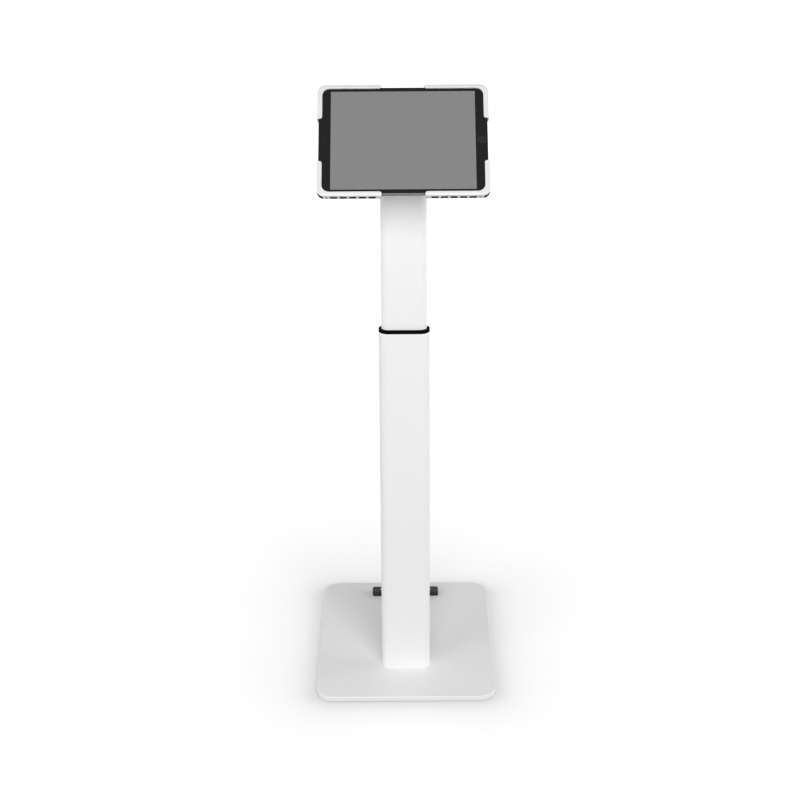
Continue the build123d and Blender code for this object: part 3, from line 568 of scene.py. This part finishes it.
# %% Dress the solids
dress = {
    white_coat: ["base_plate", "outer_tube", "inner_tube", "rotation_plate", "neck", "yoke"],
    shell_coat_painted_shade: ["rear_shell"],
    white_moulding: [
        "corner_bracket_top_left", "corner_bracket_top_right",
        "corner_bracket_bottom_left", "corner_bracket_bottom_right",
    ],
    collar_black: ["collar"],
    grained_black: ["cable_bar"],
    satin_black: ["lock_boss", "lower_glide", "turn_washer", "tilt_washers"],
    black_rubber: ["base_mat", "brake_pad"],
    zinc: [
        "foot_bolts", "foot_set_screws", "cable_bar_screws", "lock_boss_screws", "clamp_screw",
        "brake_shoe", "glide_screws", "yoke_screws", "tilt_axle", "tilt_nut", "turn_stop_pin",
        "spindle_nut", "rotation_plate_screws", "bracket_screws",
    ],
    dark_nickel: ["charge_socket"],
    brass: ["lock_bush"],
    aluminium: ["column_foot"],
    grey_anodised: ["tablet_body"],
    front_glass: ["tablet_glass"],
    camera_bead: ["front_camera"],
    home_dish: ["home_button"],
    side_key: ["power_button", "volume_up_button", "volume_down_button"],
    solder_mask: ["tablet_board"],
    cell_foil: ["tablet_battery"],
    display_back: ["tablet_display"],
}
for material, members in dress.items():
    for member in members:
        for slot in nodes[member].material_slots:
            slot.material = material
dressed = {member for members in dress.values() for member in members}
print("dressed", len(dressed), "left for new pieces", sorted(set(nodes) - dressed))

# %% [markdown]
# ## How a new surface becomes a piece
#
# The knob, the grommet and the foam pads are softer than a machined solid, so they are made here
# as skins over rings of points. A ring is a closed line of points, and each ring is joined to the
# next by four-sided faces. A torus closes on its first ring, and a ball closes on a single point
# at each end. All of it is array arithmetic: the faces are index sums, worked out at once.

# %% Rings to mesh
def skin(rings, start=None, end=None):
    """Points and faces over rings, an array of rings by points by 3.

    Point j of ring i meets point j of ring i + 1, and each ring closes on itself. Without start
    and end the last ring meets the first, as on a torus. With them, a fan closes each end on that
    point.
    """
    count, around = rings.shape[:2]
    closed = start is None
    ring = np.arange(count if closed else count - 1)[:, None]
    step = np.arange(around)[None, :]
    here = ring * around
    there = (ring + 1) % count * around
    after = (step + 1) % around
    quads = np.stack([here + step, here + after, there + after, there + step], axis=-1)
    points = rings.reshape(-1, 3)
    faces = quads.reshape(-1, 4).tolist()
    if not closed:
        points = np.vstack([points, start, end])
        first, last = len(points) - 2, len(points) - 1
        edge = (count - 1) * around
        low = np.stack([np.full(around, first), after[0], step[0]], axis=-1)
        high = np.stack([np.full(around, last), edge + step[0], edge + after[0]], axis=-1)
        faces += low.tolist() + high.tolist()
    return points, faces


def piece(name, points, faces, body, slot, material, sharp=35.0):
    """Makes the mesh, turns its faces outwards, and hangs it on a body with its finish."""
    mesh = bpy.data.meshes.new(name)
    mesh.from_pydata(points.tolist(), [], faces)
    edit = bmesh.new()
    edit.from_mesh(mesh)
    bmesh.ops.recalc_face_normals(edit, faces=edit.faces)
    edit.to_mesh(mesh)
    edit.free()
    mesh.shade_smooth()
    mesh.set_sharp_from_angle(angle=math.radians(sharp))
    made = bpy.data.objects.new(name, mesh)
    bpy.context.scene.collection.objects.link(made)
    mesh.materials.append(material)
    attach(made, body)
    print(name, "faces", len(mesh.polygons))
    return made


def rounded(corners, steps=7):
    """A closed outline in 2-D whose corners are arcs. Each row gives a corner and its radius.

    At a corner the two sides part by an angle t. The arc of radius r starts r / tan(t / 2) from
    the corner on each side, and its centre is r / sin(t / 2) from the corner on the line between
    them.
    """
    corners, radii = np.split(np.asarray(corners, float), [2], axis=1)
    rows = zip(corners, np.roll(corners, 1, axis=0), np.roll(corners, -1, axis=0), radii[:, 0])
    outline = []
    for corner, before, after, radius in rows:
        if radius == 0:
            outline.append(corner[None])
            continue
        back = (before - corner) / np.linalg.norm(before - corner)
        ahead = (after - corner) / np.linalg.norm(after - corner)
        half = math.acos(np.clip(back @ ahead, -1, 1)) / 2
        middle = (back + ahead) / np.linalg.norm(back + ahead)
        centre = corner + middle * radius / math.sin(half)
        first = corner + back * radius / math.tan(half) - centre
        last = corner + ahead * radius / math.tan(half) - centre
        share = np.linspace(0, 1, steps)[:, None]
        turn = math.pi - 2 * half
        arc = (np.sin((1 - share) * turn) * first + np.sin(share * turn) * last) / math.sin(turn)
        outline.append(centre + arc)
    return np.vstack(outline)


# %% [markdown]
# ## The lock's knob
#
# The knob behind the column is a five-lobed grip that a hand can turn hard. Cut from a round bar
# it would have sharp scallops, as the solid has. A moulded one flows, so its rim is a smooth wave
# in the angle, and the wave fades out towards the middle, where a round cap sits in a groove.

# %% Lock knob
knob_low, knob_high = (np.array(corner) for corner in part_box("lock_knob"))
lock_height = vertices("clamp_screw")[:, 2].mean()
knob_radius = knob_high[2] - lock_height
lobes = 5
scallop = 0.0044
screw_radius = 0.00405
grip_depth = 0.014
dish_radius, dish_depth = 0.0125, 0.0009
groove_radius, groove_depth = 0.0105, 0.0016
cap_radius, cap_edge_drop, cap_drop = 0.0096, 0.0004, 0.0002
groove_slope = 0.0002
print("knob radius", round(1000 * knob_radius, 2), "mm at height", round(lock_height, 4))


def knob_profile():
    """Radius and depth of the turned shape, from the screw's hole round the rim to the cap.

    The back face falls from the rim to a flat, then to a groove, and rises again to the cap. Each
    row gives a radius from the axis, a depth, and the radius of the corner's own arc.
    """
    near, far = knob_low[1], knob_high[1]
    corners = [
        (screw_radius, near + grip_depth, 0),
        (screw_radius, near, 0.0004),
        (knob_radius, near, 0.0012),
        (knob_radius, far, 0.0035),
        (dish_radius, far - dish_depth, 0.0015),
        (groove_radius, far - dish_depth, 0.0003),
        (groove_radius - groove_slope, far - groove_depth, 0.0002),
        (cap_radius + groove_slope, far - groove_depth, 0.0002),
        (cap_radius, far - cap_edge_drop, 0.0004),
        (0.0, far, 0),
    ]
    return rounded(corners)[:-1]


def knob_rings(profile, around=200, sharpness=1.4, fade_start=0.5):
    """x = r(a) sin a, z = r(a) cos a, with r(a) = r (1 - f d w(a)).

    The wave w(a) = (1/2 - cos(5 a) / 2)^1.4 is 0 on a lobe and 1 in a scallop, d is the scallop's
    share of the knob's radius, and f is 1 at the rim and fades to 0 at half of that radius.
    """
    angle = np.linspace(0, 2 * math.pi, around, endpoint=False)[None, :]
    radius, depth = profile[:, :1], profile[:, 1:]
    wave = (0.5 - 0.5 * np.cos(lobes * angle)) ** sharpness
    share = np.clip((radius / knob_radius - fade_start) / (1 - fade_start), 0, 1)
    fade = share * share * (3 - 2 * share)
    lobed = radius * (1 - fade * scallop / knob_radius * wave)
    x = lobed * np.sin(angle)
    z = lock_height + lobed * np.cos(angle)
    y = np.broadcast_to(depth, x.shape)
    return np.stack([x, y, z], axis=-1)


knob = piece(
    "grip_knob",
    *skin(
        knob_rings(knob_profile()),
        start=(0, knob_low[1] + grip_depth, lock_height),
        end=(0, knob_high[1] - cap_drop, lock_height),
    ),
    body="knob",
    slot="black_plastic",
    material=satin_black,
)
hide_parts("lock_knob")

# %% [markdown]
# ## The rubber grommet
#
# A hole through a metal wall would cut a lead, so a rubber ring lines it. It has a lip on each
# face of the wall and a waist between them. It is one section carried along a path: the path is
# the hole's flat oval, two straights joined by half circles, and the section is drawn in two
# distances, outwards from the hole's edge and along the hole.

# %% Grommet
grommet_low, grommet_high = (np.array(corner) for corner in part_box("cable_grommet"))
lip = 0.0025
lip_thickness = 0.0016
grommet_wall = 0.002
tube_wall = 0.0025
hole_width = grommet_high[0] - grommet_low[0] - 2 * lip
hole_height = grommet_high[2] - grommet_low[2] - 2 * lip
hole_z = (grommet_high[2] + grommet_low[2]) / 2
outer_face = grommet_high[1] - lip_thickness
print("hole", round(1000 * hole_width, 1), "x", round(1000 * hole_height, 1), "mm")


def flat_oval_path(width, height, around=160):
    """Points and outward normals of a flat oval, evenly spaced by its length."""
    radius = height / 2
    straight = width - height
    length = 2 * straight + 2 * math.pi * radius
    along = np.linspace(0, length, around, endpoint=False)
    bend = math.pi * radius
    turn = np.clip(along / radius, 0, math.pi)
    turn += np.clip((along - bend - straight) / radius, 0, math.pi)
    normal = np.stack([np.sin(turn), np.cos(turn)], axis=-1)
    out, back = (np.clip(along - start, 0, straight) for start in (bend, 2 * bend + straight))
    centre = np.stack([straight / 2 - (out - back), np.zeros(around)], axis=-1)
    return centre + radius * normal, normal


def grommet_section():
    """Outward distance from the hole's edge, and depth, once round the rubber's section.

    Each row gives the two distances and the radius of the corner's arc.
    """
    inner_face = outer_face - tube_wall
    corners = [
        (-grommet_wall, inner_face - lip_thickness, 0.0007),
        (-grommet_wall, outer_face + lip_thickness, 0.0009),
        (lip, outer_face + lip_thickness, 0.0011),
        (lip, outer_face, 0.0002),
        (0.0, outer_face, 0.0001),
        (0.0, inner_face, 0.0001),
        (lip, inner_face, 0.0002),
        (lip, inner_face - lip_thickness, 0.0011),
    ]
    return rounded(corners)


def grommet_rings(section):
    """Each section point goes round the path, moved outwards by its own distance."""
    points, normals = flat_oval_path(hole_width, hole_height)
    flat = points[None] + section[:, :1, None] * normals[None]
    depth = np.broadcast_to(section[:, 1:], flat.shape[:2])
    return np.stack([flat[..., 0], depth, hole_z + flat[..., 1]], axis=-1)


grommet = piece(
    "outlet_grommet",
    *skin(grommet_rings(grommet_section())),
    body="base",
    slot="black_rubber",
    material=black_rubber,
)
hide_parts("cable_grommet")

# %% [markdown]
# ## Foam pads behind the tablet
#
# Four foam pads press the tablet against the brackets' lips. Cut foam has soft edges and bulges a
# little, which a box can't show. A superquadric is a ball whose sines and cosines are raised to a
# power: with a small power it becomes a box with rounded edges, and one formula gives the whole
# pad.

# %% Foam pads
def signed_power(value, power):
    """The power of the absolute value, with the value's own sign."""
    return np.sign(value) * np.abs(value) ** power


def pad_rings(middle, half, edge=0.30, corner=0.22, levels=26, around=96):
    """Rings over a superquadric of a middle and a half size.

    x = a c(v)^e c(u)^k, z = b c(v)^e s(u)^k and y = h s(v)^e, where c is the cosine, s the sine,
    e the power at the edge and k the power at a corner.
    """
    v = np.linspace(-math.pi / 2, math.pi / 2, levels + 2)[1:-1, None]
    u = np.linspace(0, 2 * math.pi, around, endpoint=False)[None, :]
    reach = signed_power(np.cos(v), edge)
    x = middle[0] + half[0] * reach * signed_power(np.cos(u), corner)
    z = middle[2] + half[2] * reach * signed_power(np.sin(u), corner)
    y = np.broadcast_to(middle[1] + half[1] * signed_power(np.sin(v), edge), x.shape)
    return from_holder(np.stack([x, y, z], axis=-1))


pad_points = to_holder(vertices("foam_pads"))
face_gap = np.array([0.0, 0.00006, 0.0])
for side, side_name in ((-1, "left"), (1, "right")):
    for end, end_name in ((-1, "bottom"), (1, "top")):
        mine = pad_points[(pad_points[:, 0] * side > 0) & (pad_points[:, 2] * end > 0)]
        middle, half = span(mine)
        half = half - face_gap
        front, back = (from_holder(middle + [0.0, way * half[1], 0.0]) for way in (-1, 1))
        pad = piece(
            f"foam_pad_{end_name}_{side_name}",
            *skin(pad_rings(middle, half), start=front, end=back),
            body="holder",
            slot="black_rubber",
            material=grey_foam,
            sharp=80.0,
        )
        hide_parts("foam_pads")

# %% [markdown]
# ## Floor and background
#
# The stand is shown on a white floor that fades into a white background, with only a soft shadow
# by its foot. The floor is matt and pale. For the camera and for reflections it also glows, and
# more with distance, so that it is white where no shadow falls, while the light that reaches the
# stand stays the same. Beside the base the glow is weaker, which paints a soft shadow round the
# base on top of the real one.

# %% Floor
def floor_finish(half_width, half_depth, corner=0.03):
    """Matt and pale, plus a glow that only the camera and mirror-like rays can see.

    The glow follows the way w from the base's outline, a rounded rectangle. That is
    w = sqrt(dx^2 + dy^2) - r, where dx and dy say how far a point lies outside the rectangle of
    the corners' centres. Beside the base the glow is weaker, by one part that fades with e^(-45 w)
    and one that fades with e^(-7 w): a painted shadow round the base, added to the real one. From
    0.1 m it rises again, for two metres, so that the floor runs into the background without a
    horizon.
    """
    full_glow = 0.64
    close_painted_shadow, close_shadow_rate = 0.21, 45.0
    wide_painted_shadow, wide_shadow_rate = 0.11, 7.0
    far_gain, far_start, far_run = 0.38, 0.1, 2.0
    white = Finish("studio_floor")
    beside = abs(white.along((1.0, 0.0, 0.0), (0.0, 0.0, 0.0))) - (half_width - corner)
    before = abs(white.along((0.0, 1.0, 0.0), (0.0, 0.0, 0.0))) - (half_depth - corner)
    beside = beside.math("MAXIMUM", 0.0)
    before = before.math("MAXIMUM", 0.0)
    away = ((beside * beside + before * before).math("SQRT") - corner).math("MAXIMUM", 0.0)
    # Painted shadow: these two fades take glow away beside the base.
    close = (away * -close_shadow_rate).math("EXPONENT")
    wide = (away * -wide_shadow_rate).math("EXPONENT")
    far = ((away - far_start) / far_run).clamped()
    glow = full_glow - close_painted_shadow * close - wide_painted_shadow * wide + far_gain * far
    return white.surface(
        base_color=grey(0.50),
        roughness=0.9,
        specular_ior_level=0.0,
        emission_color=white.mixed(white.seen() * glow, grey(0.0), grey(1.0)),
        emission_strength=1.0,
    )


half_floor = 30.0
corners = np.array([(-1, -1, 0), (1, -1, 0), (1, 1, 0), (-1, 1, 0)]) * half_floor
floor_mesh = bpy.data.meshes.new("floor")
floor_mesh.from_pydata(corners.tolist(), [], [(0, 1, 2, 3)])
floor_mesh.materials.append(floor_finish(cad_box[1][0], cad_box[1][1]))
floor = bpy.data.objects.new("floor", floor_mesh)
bpy.context.scene.collection.objects.link(floor)
print("floor", 2 * half_floor, "m wide")

# %% [markdown]
# ## Soft studio light
#
# White goods need light from every side, or their edges turn grey. The main lamp is a large square
# above the camera, and a second one at the front left fills in. Two low lamps beside the stand
# keep the round edges of the tubes white, and two behind it light its back. All are large, so that
# no shadow has a hard edge. The sky adds little light of its own, because light from every side at
# once would take the shade from under the holder, but the camera and reflections see it plain
# white.

# %% Sky and lamps
sky_level = 0.05
world = bpy.data.worlds.new("studio_sky")
bpy.context.scene.world = world
sky = Graph(world)
background = sky.tree.nodes["Background"]
sky.put(background.inputs["Color"], grey(1.0))
sky.put(background.inputs["Strength"], sky_level + (1 - sky_level) * sky.seen())


def lamp(name, bearing, height, distance, size, level, aim_height=0.45):
    """Square lamp aimed at the stand's middle, from a bearing to the right of the front.

    Bearing and height are in degrees. The power grows with the distance squared, so that a lamp
    of the same level lights the stand alike from any distance.
    """
    target = np.array([0.0, axle[1], aim_height])
    turn, lift = math.radians(bearing), math.radians(height)
    level_part = math.cos(lift)
    way = np.array([math.sin(turn) * level_part, -math.cos(turn) * level_part, math.sin(lift)])
    light = bpy.data.lights.new(name, "AREA")
    light.size = size
    light.energy = level * math.pi**2 * distance**2
    source = bpy.data.objects.new(name, light)
    source.location = target + way * distance
    source.rotation_euler = (math.radians(90) - lift, 0.0, turn)
    bpy.context.scene.collection.objects.link(source)


lamp("front_box", bearing=8.0, height=34.0, distance=6.0, size=4.1, level=0.80)
lamp("front_left_box", bearing=-46.0, height=25.0, distance=6.0, size=3.6, level=0.30)
lamp("right_box", bearing=94.0, height=6.0, distance=5.0, size=3.4, level=0.58)
lamp("left_box", bearing=-96.0, height=6.0, distance=5.0, size=3.2, level=0.21)
lamp("rear_right_box", bearing=142.0, height=8.0, distance=5.0, size=3.2, level=0.24)
lamp("rear_left_box", bearing=-142.0, height=8.0, distance=5.0, size=3.2, level=0.24)
print("sky", sky_level)

# %% [markdown]
# ## The camera
#
# The stand is seen from the front and from above, with a long lens, so its upright lines hardly
# lean. The numbers come from fitting a pinhole camera to the stand's own edges: the eye's place,
# the lens, the pitch, and traces of yaw and roll.

# %% Camera
lens_pixels = 1665.01
image_pixels = 800.0
sensor = 36.0
eye = np.array([-0.00375, -2.54058, 1.47361])
pitch, yaw, roll = (math.radians(angle) for angle in (21.88, -0.08, 0.38))
ahead = np.array([math.sin(yaw), math.cos(yaw), 0.0])
view = ahead * math.cos(pitch) + np.array([0.0, 0.0, -math.sin(pitch)])
level_right = np.array([math.cos(yaw), -math.sin(yaw), 0.0])
level_down = -np.cross(level_right, view)
right = math.cos(roll) * level_right + math.sin(roll) * level_down
down = -math.sin(roll) * level_right + math.cos(roll) * level_down

optics = bpy.data.cameras.new("camera")
optics.sensor_width = sensor
optics.lens = lens_pixels / image_pixels * sensor
optics.clip_end = 200.0
camera = bpy.data.objects.new("camera", optics)
placing = np.eye(4)
placing[:3] = np.stack([right, -down, -view, eye], axis=1)
camera.matrix_world = Matrix(placing.tolist())
bpy.context.scene.collection.objects.link(camera)
bpy.context.scene.camera = camera
bpy.context.scene.view_settings.view_transform = "Standard"
print("lens", round(optics.lens, 2), "mm")
